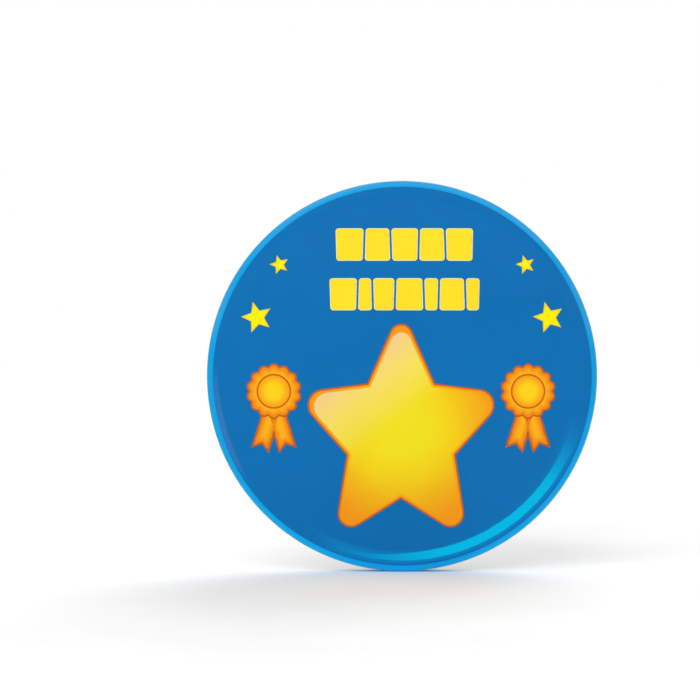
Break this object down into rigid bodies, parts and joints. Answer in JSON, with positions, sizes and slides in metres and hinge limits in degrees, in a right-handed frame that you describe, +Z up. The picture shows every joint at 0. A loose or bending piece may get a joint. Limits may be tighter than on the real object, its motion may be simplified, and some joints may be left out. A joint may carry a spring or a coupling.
{
  "type": "button badge",
  "caption": "Round pin-back button badge: domed printed face under clear film, rolled metal back plate and a spring-wire pin that opens and closes.",
  "frame": {"origin": "centre of the badge's bounding box, midway between the top of the dome and the rear rim", "axes": "+Y points out of the back, so the printed face looks along -Y; +Z is up the artwork, +X is to the right as seen from the front"},
  "size_m": [0.058, 0.0064, 0.058],
  "materials": {
    "shell_tinplate": "bare tinplate, hidden under the print",
    "printed_paper": "blue printed paper, seen through the gloss film",
    "clear_film": "clear gloss polyester film",
    "tinplate": "bright tinplate",
    "pin_wire": "drawn spring wire, plated"
  },
  "bodies": {
    "badge": {"front_shell": "shell_tinplate", "artwork_disc": "printed_paper", "clear_film": "clear_film", "back_plate": "tinplate", "pin_loop": "pin_wire"},
    "pin": {"pin_arm": "pin_wire"}
  },
  "joints": [
    {"name": "pin_open", "type": "hinge", "parent": "badge", "child": "pin", "pos_m": [0.01117, 0.0019, -0.00382], "axis": [-0.5417, -0.6428, -0.5417], "range_deg": [0, 40]}
  ]
}
